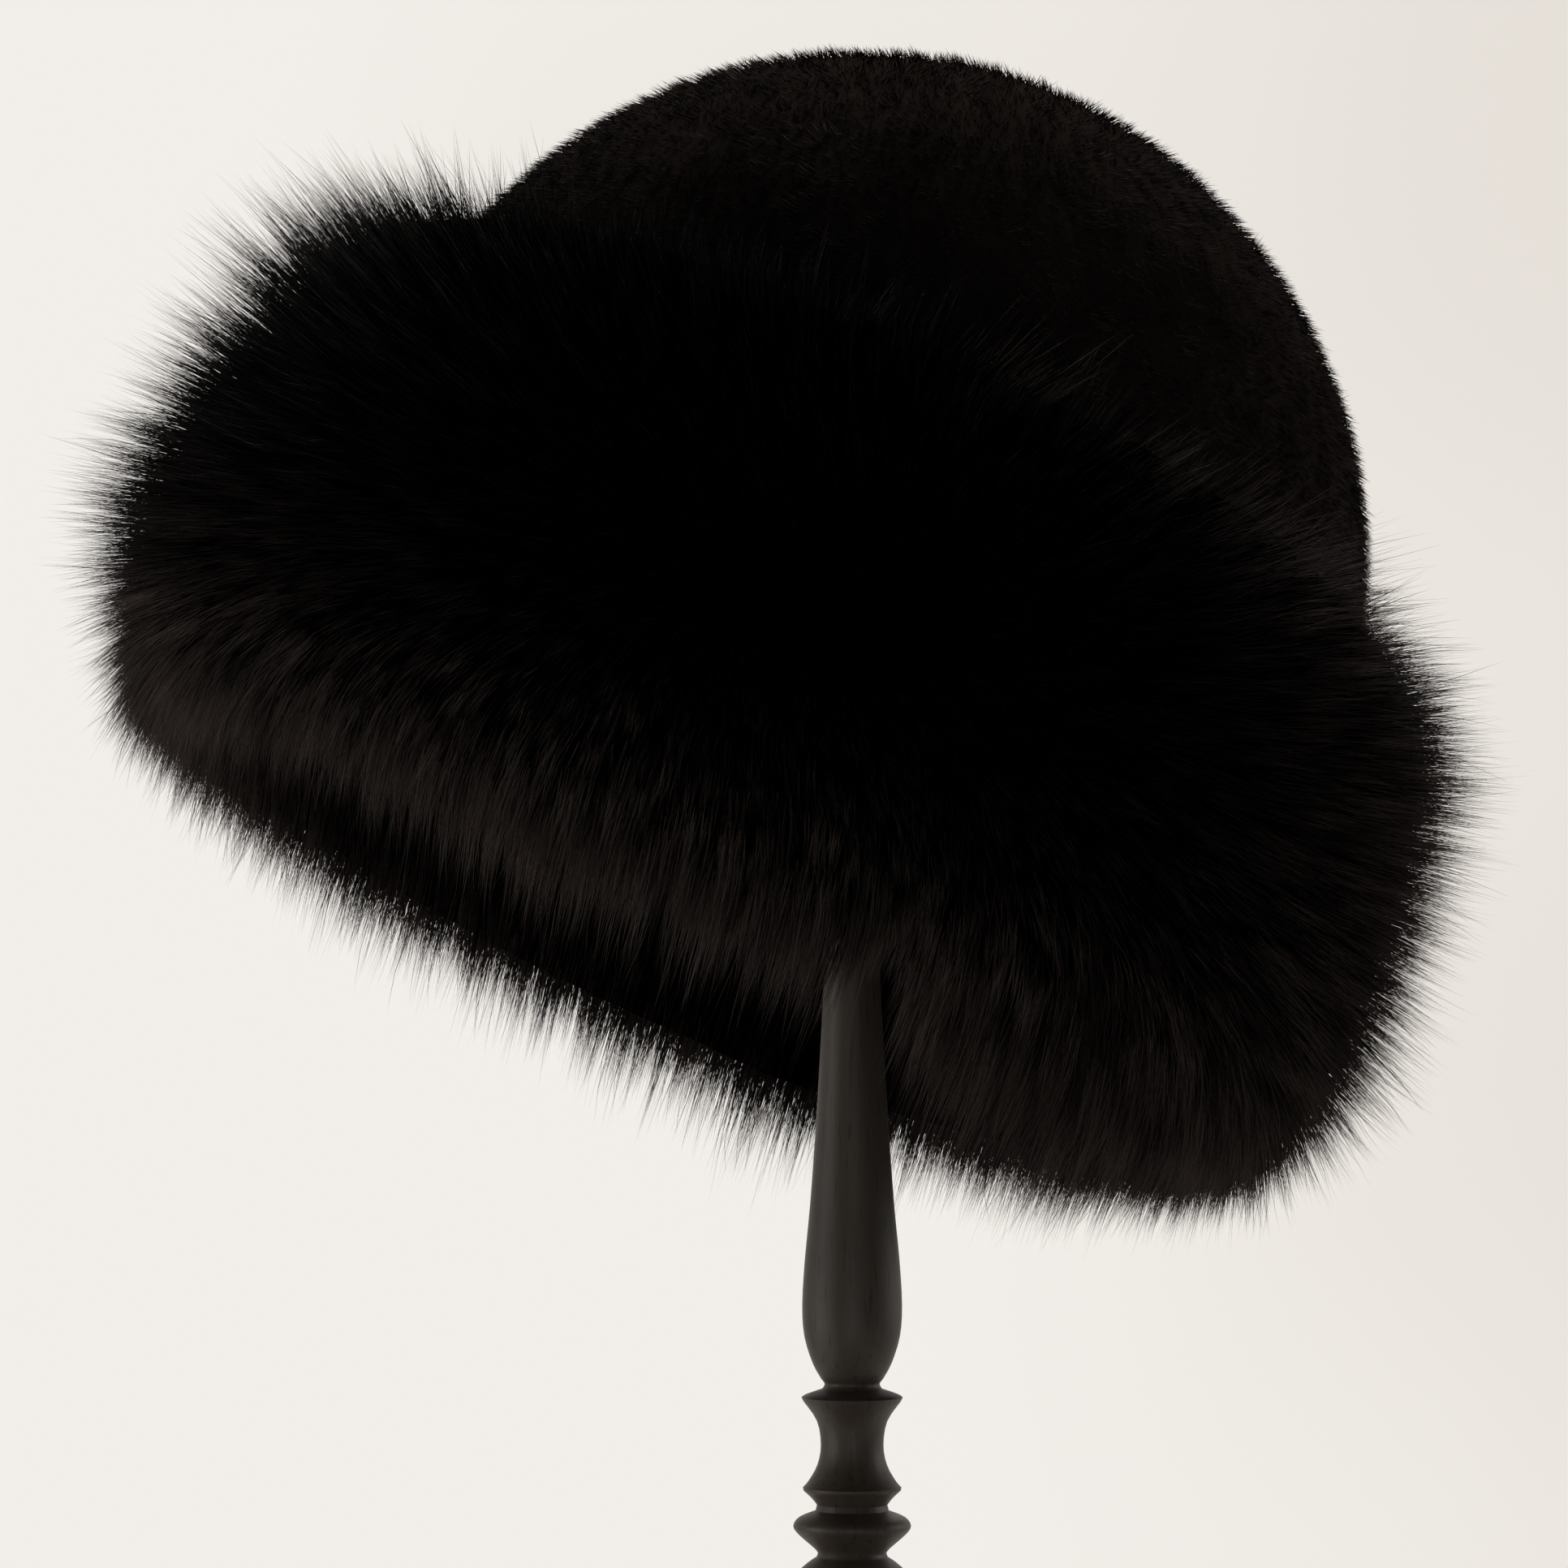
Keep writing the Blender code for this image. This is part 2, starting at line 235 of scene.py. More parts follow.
# Stand's post and foot: height above the floor and radius, in millimetres.
POST_TOP_RADIUS = 5.3
POST_LINE = (
    (197.0, 5.6), (179.0, 6.5), (162.0, 7.5), (145.5, 8.7), (134.0, 9.8), (124.5, 10.35),
    (118.0, 9.9), (112.5, 8.2), (109.2, 6.4), (108.2, 5.7), (107.2, 6.2), (106.0, 9.6),
    (105.4, 10.5), (104.6, 10.1), (100.5, 7.3), (95.6, 6.5), (91.5, 7.2), (88.2, 9.0),
    (86.8, 10.2), (86.2, 10.1), (84.6, 8.4), (83.2, 7.3), (82.0, 7.6), (80.6, 11.0),
    (78.8, 12.2), (77.0, 11.0), (74.2, 7.8), (73.2, 7.1), (72.4, 7.4), (71.2, 9.2),
    (68.5, 12.0), (65.5, 13.0), (62.5, 12.0), (59.5, 8.8), (58.0, 8.2), (50.0, 8.6),
    (40.0, 10.4), (32.0, 13.6), (27.0, 18.0), (24.3, 22.0),
)
BASE_LINE = (
    (24.0, 26.0), (21.5, 28.0), (19.0, 34.0), (17.5, 48.0), (15.5, 62.0),
    (13.0, 69.5), (9.0, 73.0), (4.5, 73.0), (1.0, 71.0), (0.0, 70.0),
)
# Heights at which either line turns a sharp corner.
CORNERS = (
    109.2, 107.2, 105.4, 104.6, 86.8, 86.2, 83.2, 82.0, 73.2, 72.4, 58.0, 24.3, 24.0, 21.5, 0.0,
)
LINE_STEPS = 3

# The photo's view: where the camera stands, the height that it aims at and the width that it sees.
CAMERA_DISTANCE = 1.5
CAMERA_X = -14.1 * MM
CAMERA_Z = 222.0 * MM
AIM_Z = 232.3 * MM
VIEW_WIDTH = 324.6 * MM
SENSOR_WIDTH = 36.0

# Studio lights, each aimed at the hat, at the post or at a place of its own.
HAT_AIM = (0.0, 0.0, 0.27)
POST_AIM = (0.0, 0.0, 0.12)
HIGH_COLOUR = (1.0, 0.97, 0.93)
LOW_COLOUR = (1.0, 0.96, 0.92)
LIGHTS = {
    # name: (place, aim, size, watts, colour)
    "back_top_light": ((0.3, 1.0, 1.2), HAT_AIM, 0.9, 5.0, HIGH_COLOUR),
    "high_light": ((0.0, 0.68, 1.42), HAT_AIM, 0.9, 15.0, HIGH_COLOUR),
    "left_back_light": ((-1.3, 0.7, 0.4), HAT_AIM, 0.9, 0.8, HIGH_COLOUR),
    "right_back_light": ((1.3, 0.4, 0.4), HAT_AIM, 0.9, 3.6, HIGH_COLOUR),
    "low_left_light": ((-0.6, -0.16, 0.05), (-0.04, -0.05, 0.18), 0.5, 1.6, LOW_COLOUR),
    "low_front_light": ((0.0, -0.5, 0.02), (0.0, -0.12, 0.2), 0.4, 0.5, LOW_COLOUR),
    "low_right_light": ((0.6, -0.1, 0.08), POST_AIM, 0.5, 0.15, LOW_COLOUR),
}
# Light from all round: the directions that it comes from, how sharply and how strongly.
SKY_GLOW = 0.01
SKY_COLOUR = (1.0, 0.965, 0.92, 1.0)
SKY_LOBES = (((0.0, 1.0, 0.05), 2.0, 1.0), ((0.0, 0.1, -1.0), 2.0, 0.15))


def amount_setting(name, description, default, least=1000):
    """A whole number among the settings."""
    return IntProperty(name=name, description=description, default=default, min=least)


def share_setting(name, description, default, most=1.0):
    """A share among the settings."""
    limits = {"min": 0.0, "max": most, "subtype": "FACTOR"}
    return FloatProperty(name=name, description=description, default=default, **limits)


def length_setting(name, description, default):
    """A length among the settings."""
    return FloatProperty(name=name, description=description, default=default, unit="LENGTH")


def colour_setting(name, description, default):
    """A colour among the settings."""
    return FloatVectorProperty(name=name, description=description, default=default, subtype="COLOR")


class FurHatFurSettings(bpy.types.PropertyGroup):
    """Amounts, thickness and colours of the fur."""

    guard_hairs: amount_setting("Brim Hairs", "Long hairs on the brim", 118000)
    bent_share: share_setting("Bent Hairs", "Share of the long hairs that show a bend", 0.19)
    short_hairs: amount_setting("Underfur Hairs", "Short spikes of underfur on the brim", 34000)
    pile_hairs: amount_setting("Pile Hairs", "Short hairs on the crown", 46000)
    hair_width: length_setting("Hair Width", "Thickness of a long hair at the underfur", 0.15 * MM)
    under_width: length_setting("Underfur Width", "Thickness of an underfur spike's root", 0.55 * MM)
    pile_width: length_setting("Pile Width", "Thickness of a pile hair's root", 0.28 * MM)
    side_fullness: share_setting("Fuller Sides", "How much of the sides' extra length is used", 1.0, 2.0)
    tuft_pull: share_setting("Tuft Pull", "How far the tips of a tuft's hairs draw together", 0.5)
    black: colour_setting("Black Hair", "Colour of most of the hair", (0.0006, 0.0005, 0.0005))
    # The brown is the hair's own brown and also the colour of the light painted on lit strands and on the
    # lower fringe.
    brown: colour_setting("Brown Hair", "Colour of the browner hair", (0.072, 0.0565, 0.0515))


class FurHatHideSettings(bpy.types.PropertyGroup):
    """Sides and colours of the hide under the fur."""

    sides: amount_setting("Hide Sides", "Sides of the round hide pieces", 96, least=24)
    skin: colour_setting("Skin Under Fur", "Colour of the hide between hairs", (0.0190, 0.0151, 0.0136))
    suede: colour_setting("Suede Side", "Colour of the hide's bare inner side", (0.0100, 0.0080, 0.0070))


class FurHatStandSettings(bpy.types.PropertyGroup):
    """Sides and colours of the turned stand."""

    sides: amount_setting("Turning Sides", "Sides of the turned pieces", 64, least=24)
    stain: colour_setting("Dark Stain", "Colour of the stained wood", (0.036, 0.0285, 0.0222))
    grain: colour_setting("Worn Grain", "Colour where the stain is thin", (0.058, 0.0455, 0.035))


class FurHatStudioSettings(bpy.types.PropertyGroup):
    """Backdrop and floor of the studio."""

    backdrop: colour_setting("Backdrop", "Colour of the plain cream backdrop", (0.887, 0.855, 0.815))
    backdrop_shade: colour_setting("Backdrop Shade", "Colour of its darker patches", (0.79, 0.745, 0.695))
    floor_radius: length_setting("Floor Radius", "Radius of the pale floor, which fades out", 0.62)


def deselect():
    """Leave edit mode and clear the selection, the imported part's nodes included."""
    if bpy.context.mode != "OBJECT":
        bpy.ops.object.mode_set(mode="OBJECT")
    for ob in bpy.context.selected_objects:
        ob.select_set(False)


def make_active(ob):
    """Select one object alone and make it the active one."""
    deselect()
    ob.select_set(True)
    bpy.context.view_layer.objects.active = ob


def smooth_line(line):
    """Points of a turned profile with rounded stretches between its sharp corners, in metres.

    Between two corners the line is a Catmull-Rom curve through the table's points.
    """
    points = [np.array((radius, height)) * MM for height, radius in line]
    corners = [height in CORNERS for height, radius in line]
    smooth = []
    for i in range(len(points) - 1):
        before = points[i] if i == 0 or corners[i] else points[i - 1]
        after = points[i + 1] if i + 2 == len(points) or corners[i + 1] else points[i + 2]
        for step in range(LINE_STEPS):
            t = step / LINE_STEPS
            leave = (points[i + 1] - before) / 2
            arrive = (after - points[i]) / 2
            start_share = 2 * t**3 - 3 * t**2 + 1
            leave_share = t**3 - 2 * t**2 + t
            arrive_share = t**3 - t**2
            point = start_share * points[i] + (1 - start_share) * points[i + 1]
            smooth.append(point + leave_share * leave + arrive_share * arrive)
    smooth.append(points[-1])
    return [(float(radius), float(height)) for radius, height in smooth]


def select_first_ring(ob, sides):
    """In edit mode, select the ring of a turned piece that was made first."""
    bpy.ops.mesh.select_all(action="DESELECT")
    piece = bmesh.from_edit_mesh(ob.data)
    piece.verts.ensure_lookup_table()
    for vertex in piece.verts[:sides]:
        vertex.select = True
    piece.select_flush(True)
    bmesh.update_edit_mesh(ob.data)


def extrude_ring(rise):
    """In edit mode, draw the selected ring along the axis."""
    bpy.ops.mesh.extrude_region_move(TRANSFORM_OT_translate={"value": (0.0, 0.0, rise)})


def turn_piece(name, profile, sides, closed=False):
    """Turn a profile of (radius, height) points round Z; a zero radius at an end is a pole."""
    starts_at_pole = profile[0][0] == 0.0
    ends_at_pole = profile[-1][0] == 0.0
    rows = profile[int(starts_at_pole) : len(profile) - int(ends_at_pole)]
    deselect()
    radius, height = rows[0]
    bpy.ops.mesh.primitive_circle_add(vertices=sides, radius=radius, location=(0.0, 0.0, height))
    ob = bpy.context.object
    ob.name = ob.data.name = name
    bpy.ops.object.transform_apply(location=True)
    bpy.ops.object.mode_set(mode="EDIT")
    bpy.ops.mesh.select_mode(type="VERT")
    bpy.ops.mesh.select_all(action="SELECT")
    for next_radius, next_height in rows[1:]:
        extrude_ring(next_height - height)
        scale = next_radius / radius
        bpy.ops.transform.resize(value=(scale, scale, 1.0), center_override=(0.0, 0.0, next_height))
        radius, height = next_radius, next_height
    if ends_at_pole:
        extrude_ring(profile[-1][1] - height)
        bpy.ops.mesh.merge(type="CENTER")
    if starts_at_pole:
        select_first_ring(ob, sides)
        extrude_ring(profile[0][1] - rows[0][1])
        bpy.ops.mesh.merge(type="CENTER")
    if closed:
        bpy.ops.mesh.select_all(action="DESELECT")
        bpy.ops.mesh.select_non_manifold(extend=False)
        bpy.ops.mesh.bridge_edge_loops()
    bpy.ops.mesh.select_all(action="SELECT")
    bpy.ops.mesh.normals_make_consistent(inside=False)
    bpy.ops.object.mode_set(mode="OBJECT")
    return ob


def shape_as_hat(points):
    """Make upright hat points oval, and shift the brim to one side the further it goes down."""
    shaped = np.array(points, float)
    below = np.maximum(0.0, (CROWN_RIM - shaped[..., 2]) / BRIM_DEPTH)
    shaped[..., 0] += BRIM_SHIFT * below
    shaped[..., 1] *= OVAL
    return shaped


def place_on_stand(points):
    """Carry upright hat points to where the hat sits on the stand."""
    turn = np.array(HAT_PLACE.to_3x3())
    return shape_as_hat(points) @ turn.T + np.array(CROWN_CENTRE)


def mesh_points(ob):
    """An object's mesh points as an array of rows."""
    points = np.zeros(len(ob.data.vertices) * 3)
    ob.data.vertices.foreach_get("co", points)
    return points.reshape(-1, 3)


def set_mesh_points(ob, points):
    """Write an array of rows back to an object's mesh points."""
    ob.data.vertices.foreach_set("co", np.ascontiguousarray(points, float).ravel())
    ob.data.update()


def finish_piece(ob, nodes=(), angle=None):
    """Shade a piece smooth, ride it on the body and hide the part's nodes that it stands for."""
    make_active(ob)
    if angle is None:
        bpy.ops.object.shade_smooth()
    else:
        bpy.ops.object.shade_smooth_by_angle(angle=math.radians(angle))
    ob.select_set(False)
    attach(ob, BODY)
    if nodes:
        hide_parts(*nodes)


def dome_radius(height, radius, top):
    """Radius of the crown's rounded dome at a height above its centre."""
    return radius * (1.0 - (height / top) ** CROWN_POWER) ** (1.0 / CROWN_POWER)


def dome_line(depth, steps):
    """Points of the crown's dome, this deep in its wall, from its top on the axis down to its rim."""
    radius, top = CROWN_RADIUS - depth, CROWN_HEIGHT - depth
    line = [(0.0, top)]
    lowest = math.asin(CROWN_RIM / top)
    for i in range(1, steps + 1):
        height = top * math.sin(math.pi / 2 + (lowest - math.pi / 2) * i / steps)
        line.append((dome_radius(height, radius, top), height))
    return line


def wall_radius(heights):
    """Outer radii of the brim's hide at heights above the crown centre."""
    return np.interp(heights, WALL_HEIGHTS[::-1], WALL_RADII[::-1])


def feed(tree, node, inputs):
    """Give each of a node's inputs its value, or the output of another node that feeds it."""
    for key, value in inputs.items():
        if isinstance(value, bpy.types.NodeSocket):
            tree.links.new(value, node.inputs[key])
        else:
            node.inputs[key].default_value = value


def add_node(tree, kind, inputs=None, **values):
    """Add a shader node, set its properties by name and feed its inputs."""
    node = tree.nodes.new("ShaderNode" + kind)
    for key, value in values.items():
        setattr(node, key, value)
    feed(tree, node, inputs or {})
    return node


def maths(tree, operation, *inputs, kind="Math", result="Value"):
    """The result of a maths node."""
    return add_node(tree, kind, dict(enumerate(inputs)), operation=operation).outputs[result]


def spread(tree, value, low, high):
    """A value from 0 to 1 spread from one number to another."""
    inputs = {"Value": value, "To Min": low, "To Max": high}
    return add_node(tree, "MapRange", inputs).outputs["Result"]


def ramp(tree, value, stops):
    """A value carried through a ramp of (place, grey) stops."""
    node = add_node(tree, "ValToRGB", {"Fac": value})
    elements = node.color_ramp.elements
    while len(elements) < len(stops):
        elements.new(0.5)
    for element, (place, grey) in zip(elements, stops):
        element.position = place
        element.color = (grey, grey, grey, 1.0)
    return node.outputs["Color"]


def mix(tree, share, first, second):
    """Two colours mixed by a share."""
    inputs = {"Factor": share, "A": first, "B": second}
    return add_node(tree, "Mix", inputs, data_type="RGBA").outputs["Result"]


def noise_texture(tree, place, **numbers):
    """Noise from 0 to 1 at a place, with its Scale, Detail and Roughness by name."""
    return add_node(tree, "TexNoise", {"Vector": place, **numbers}).outputs["Fac"]


def shared_group(name, inputs, outputs, fill):
    """A shader node group, made once, whose inputs a function turns into its outputs."""
    if name in bpy.data.node_groups:
        return bpy.data.node_groups[name]
    group = bpy.data.node_groups.new(name, "ShaderNodeTree")
    for side, labels in (("INPUT", inputs), ("OUTPUT", outputs)):
        for label, kind in labels.items():
            group.interface.new_socket(name=label, in_out=side, socket_type="NodeSocket" + kind)
    given = group.nodes.new("NodeGroupInput").outputs
    feed(group, group.nodes.new("NodeGroupOutput"), fill(group, given))
    return group


def strand_colour(group, given):
    """Colour of a hair from its own tone and the place along it: painted shade darkens it towards the
    root, and hairs of a lighter tone are browner.
    """
    strip = add_node(group, "UVMap", uv_map="OFBake").outputs["UV"]
    parts = add_node(group, "SeparateXYZ", {"Vector": strip}).outputs
    tone = ramp(group, parts["X"], ((0.0, 0.0), (0.5, 0.35), (1.0, 1.0)))
    # Painted shade: the hair darkens towards its root, where shade falls deep in the fur, and a little at
    # its tip.
    along = ramp(group, parts["Y"], ((0.0, 0.25), (0.35, 0.42), (0.75, 1.0), (1.0, 0.9)))
    dye = mix(group, tone, given["Black"], given["Brown"])
    return {"Colour": maths(group, "MULTIPLY", dye, along, kind="VectorMath", result="Vector")}


def hide_nap(group, given):
    """Mottle and fine bump of suede or of the skin between hairs, on the piece's own coordinates."""
    place = add_node(group, "TexCoord").outputs["Object"]
    nap = noise_texture(group, place, Scale=given["Nap Scale"], Detail=3.0)
    mottle = noise_texture(group, place, Scale=60.0, Detail=2.0)
    both = maths(group, "MULTIPLY", spread(group, mottle, 0.55, 1.5), spread(group, nap, 0.7, 1.3))
    colour = add_node(group, "VectorMath", {0: given["Colour"], "Scale": both}, operation="SCALE")
    rough = spread(group, mottle, 0.75, 0.98)
    return {"Colour": colour.outputs["Vector"], "Height": nap, "Roughness": rough}


def turned_grain(group, given):
    """Grain that runs up the turned piece: its colour, gloss and the fine relief of its pores."""
    place = add_node(group, "TexCoord").outputs["Object"]
    along = add_node(group, "Mapping", {"Vector": place, "Scale": (160.0, 160.0, 9.0)})
    fibre = noise_texture(group, along.outputs["Vector"], Scale=1.0, Detail=5.0, Roughness=0.6)
    fine = add_node(group, "Mapping", {"Vector": place, "Scale": (1400.0, 1400.0, 70.0)})
    pores = noise_texture(group, fine.outputs["Vector"], Scale=1.0, Detail=2.0)
    bands = ramp(group, fibre, ((0.35, 0.0), (0.52, 0.35), (0.72, 1.0)))
    colour = mix(group, bands, given["Stain"], given["Grain"])
    pit = ramp(group, pores, ((0.30, 0.45), (0.42, 1.0)))
    dark = maths(group, "MULTIPLY", colour, pit, kind="VectorMath", result="Vector")
    return {"Colour": dark, "Height": pit, "Roughness": spread(group, fibre, 0.56, 0.44)}


def new_material(name):
    """A new material with its node tree and its Principled shader."""
    material = bpy.data.materials.new(name)
    material.use_nodes = True
    return material, material.node_tree, material.node_tree.nodes["Principled BSDF"]


def group_material(name, group, inputs, gloss, roughness=None, relief=None):
    """A material, made once, that a shared group colours and may roughen and emboss."""
    if name in bpy.data.materials:
        return bpy.data.materials[name]
    material, tree, shader = new_material(name)
    look = add_node(tree, "Group", inputs, node_tree=group).outputs
    if roughness is None:
        roughness = look["Roughness"]
    fed = {"Base Color": look["Colour"], "Roughness": roughness, "Specular IOR Level": gloss}
    feed(tree, shader, fed)
    if relief:
        strength, depth = relief
        bump = {"Strength": strength, "Distance": depth, "Height": look["Height"]}
        feed(tree, shader, {"Normal": add_node(tree, "Bump", bump).outputs["Normal"]})
    return material


def hair_material(name, black, brown, roughness, gloss):
    """Hair whose colour follows its own strip of the piece's map."""
    kinds = {"Black": "Color", "Brown": "Color"}
    group = shared_group("strand_colour", kinds, {"Colour": "Color"}, strand_colour)
    return group_material(name, group, {"Black": (*black, 1.0), "Brown": (*brown, 1.0)}, gloss, roughness)


RELIEF_OUTPUTS = {"Colour": "Color", "Height": "Float", "Roughness": "Float"}


def hide_material(name, colour, nap_scale, depth, gloss=0.0):
    """Matt hide with a fine nap."""
    group = shared_group("hide_nap", {"Colour": "Color", "Nap Scale": "Float"}, RELIEF_OUTPUTS, hide_nap)
    inputs = {"Colour": (*colour, 1.0), "Nap Scale": nap_scale}
    return group_material(name, group, inputs, gloss, relief=(0.6, depth))


def suede_material(settings):
    """The hide's bare inner side."""
    return hide_material("suede_side", settings.suede, nap_scale=1500.0, depth=0.2 * MM, gloss=0.1)


def wood_material(stain, grain):
    """Dark stained and waxed hardwood."""
    kinds = {"Stain": "Color", "Grain": "Color"}
    group = shared_group("turned_grain", kinds, RELIEF_OUTPUTS, turned_grain)
    inputs = {"Stain": (*stain, 1.0), "Grain": (*grain, 1.0)}
    return group_material("dark_stained_wood", group, inputs, gloss=0.36, relief=(0.25, 0.15 * MM))


def at_ring(ring, table):
    """Each column of a table of the fur's rows, at places between the rows."""
    return [np.interp(ring, np.arange(len(table)), column) for column in table.T]


def fur_patches(ring, turn):
    """Extra length, extra brown as painted light and shade, combing and flare of the hair at places round
    the brim.
    """
    total = np.zeros((4, len(ring)))
    for place, reach, row, row_reach, *extra in FUR_PATCHES:
        round_brim = np.angle(np.exp(1j * (turn - math.radians(place)))) / math.radians(reach)
        weight = np.exp(-(round_brim**2) - ((ring - row) / row_reach) ** 2)
        total += np.array(extra)[:, None] * weight
    return total


def fullness(ring, turn, share):
    """Extra length of the hair as a share: some of the fuller sides', and all of the patches'."""
    left, right = at_ring(ring, FUR_HABITS)[2:4]
    towards_right = np.cos(turn)
    sides = towards_right**2 * np.where(towards_right < 0.0, left, right)
    return share * sides + fur_patches(ring, turn)[0]


def upright(radius, height, turn):
    """Points at a radius and height, turned round the upright hat's axis."""
    return np.stack([radius * np.cos(turn), radius * np.sin(turn), height], axis=-1)


def pick_by_area(count, areas, places, chance):
    """Random places along a line whose steps sweep these areas, evenly over the whole area."""
    reached = np.concatenate([[0.0], np.cumsum(areas)]) / areas.sum()
    return np.interp(chance.random(count), reached, places)


def scatter_on_brim(count, chance):
    """Places over the outer surface of the long fur, as thick as it grows: ring and turn of each."""
    tip_radius, tip_height = at_ring(FINE_RINGS, FUR_LINES)[2:]
    lengths = np.hypot(np.diff(tip_radius), np.diff(tip_height))
    growth = at_ring(FINE_RINGS, FUR_HABITS)[1]
    areas = lengths * (tip_radius[1:] + tip_radius[:-1]) * growth[1:]
    ring = pick_by_area(count, areas, FINE_RINGS, chance)
    return ring, chance.random(count) * FULL_TURN


def ideal_hair(ring, turn):
    """Root and tip of a hair at a place on the brim, before any of its own sway."""
    root_radius, root_height, tip_radius, tip_height = at_ring(ring, FUR_LINES)
    return upright(root_radius, root_height, turn), upright(tip_radius, tip_height, turn)


def nearest_tufts(tips, tuft_tips):
    """The index of the tuft nearest to each hair's tip."""
    tree = KDTree(len(tuft_tips))
    for index, point in enumerate(tuft_tips):
        tree.insert(point, index)
    tree.balance()
    return np.array([tree.find(point)[1] for point in tips])


def unit(vectors):
    """Vectors scaled to a length of one."""
    return vectors / np.maximum(np.linalg.norm(vectors, axis=-1, keepdims=True), 1e-9)


def noise_at(points, fineness):
    """Smooth noise at each point."""
    return np.array([noise.noise(Vector(point) * fineness) for point in points])


def brim_hair(count, chance, lengths_of, side_fullness, pull):
    """The brim's hairs, drawn together in tufts: root, bend and tip, then tone, then turn."""
    rows = at_ring(FINE_RINGS, FUR_LINES)
    outer_area = FULL_TURN * np.sum(np.hypot(np.diff(rows[2]), np.diff(rows[3])) * rows[2][1:])
    tuft_ring, tuft_turn = scatter_on_brim(int(outer_area / TUFT_SPACING**2), chance)
    tuft_tips = ideal_hair(tuft_ring, tuft_turn)[1]
    tuft_length = chance.uniform(*TUFT_LENGTHS, len(tuft_tips))
    tuft_sway = chance.normal(0.0, TUFT_SWAY, (len(tuft_tips), 3))
    tuft_tone = chance.random(len(tuft_tips))

    ring, turn = scatter_on_brim(count, chance)
    roots, tips = ideal_hair(ring, turn)
    tuft = nearest_tufts(tips, tuft_tips)
    drawn = pull * chance.uniform(*TUFT_PULLS, (count, 1))
    tips += drawn * (tuft_tips[tuft] - tips) + tuft_sway[tuft]
    tips += chance.normal(0.0, HAIR_SWAY, (count, 3))
    level = np.zeros(count)
    around = np.stack([-np.sin(turn), np.cos(turn), level], axis=-1)
    flow = sum(
        share * np.sin(waves * turn + shift * ring + start) for waves, shift, start, share in FLOW_WAVES
    )
    # The patches paint light as extra brown on strands that catch it, and less brown where the fringe lies
    # darker.
    painted_light_brown, combed, flared = fur_patches(ring, turn)[1:]
    tips += (FLOW_SWAY * flow + MM * combed)[:, None] * around
    tips += MM * flared[:, None] * upright(1.0, level, turn)
    joint = np.clip(JOINT_ROW - ring, 0.0, 1.0)
    uneven = sum(np.sin(waves * turn + start) for waves, start in JOINT_WAVES)
    uneven += JOINT_TUFTS * (2.0 * tuft_tone[tuft] - 1.0)
    length = lengths_of(count, chance) * tuft_length[tuft]
    length += joint * (length - JOINT_MIDDLE - JOINT_SHORTER)
    length *= 1.0 + fullness(ring, turn, side_fullness) + JOINT_UNEVEN * joint * uneven
    tips = roots + length[:, None] * (tips - roots)

    reach = tips - roots
    radial = np.hypot(reach[:, 0], reach[:, 1]) * np.sign(
        reach[:, 0] * np.cos(turn) + reach[:, 1] * np.sin(turn)
    )
    over = upright(-reach[:, 2], radial, turn)
    arch = HAIR_ARCH * chance.uniform(*ARCH_SPREAD, (count, 1))
    curl = chance.normal(0.0, HAIR_CURL, (count, 3)) * np.linalg.norm(reach, axis=1, keepdims=True)
    middles = (roots + tips) / 2 + arch * over + curl

    roots, middles, tips = (place_on_stand(points) for points in (roots, middles, tips))
    reach = tips - roots
    full = np.linalg.norm(reach, axis=1)
    lift = np.where(np.cos(turn) < 0.0, LEFT_LIFT, RIGHT_LIFT) * np.cos(turn) ** 2
    # The row's brown is partly the hair's own and partly painted light on the lower fringe.
    hang, *_, brown_with_painted_light = at_ring(ring, FUR_HABITS)
    hang = hang * full * (1.0 - lift)
    reach[:, 2] -= hang
    tips = roots + full[:, None] * unit(reach)
    middles[:, 2] -= BEND_HANG * hang
    # A hair's tone: its row's brown and the patches' painted light, spread by its tuft's and its own
    # random tone.
    mixed = TONE_SHARES[0] * tuft_tone[tuft] + TONE_SHARES[1] * chance.random(count)
    tone = np.clip((brown_with_painted_light + painted_light_brown) * (TONE_CONTRAST * mixed - TONE_DROP), 0.0, 1.0)
    return np.stack([roots, middles, tips]), tone, turn


def along_arc(arcs, places):
    """Points at places from 0 to 1 along each hair's arc through its root, bend and tip."""
    t = np.array(places)[None, :, None]
    first, second, third = arcs[:, :, None]
    return (1 - t) ** 2 * first + 2 * t * (1 - t) * second + t**2 * third


def strand_faces(rings):
    """Corner numbers of one strand's triangles, and each corner's side (-1, 0, 1) and row."""
    tip = 3 * rings
    faces, sides, rows = [(0, 2, 1)], [(-1, 1, 0)], [(0, 0, 1)]
    for j in range(3):
        k = (j + 1) % 3
        for row in range(rings - 1):
            low, high = 3 * row, 3 * (row + 1)
            faces += [(low + j, low + k, high + k), (low + j, high + k, high + j)]
            sides += [(-1, 1, 1), (-1, 1, -1)]
            rows += [(row, row, row + 1), (row, row + 1, row + 1)]
        last = 3 * (rings - 1)
        faces.append((last + j, last + k, tip))
        sides.append((-1, 1, 0))
        rows.append((rings - 1, rings - 1, rings))
    return np.array(faces), np.array(sides), np.array(rows)


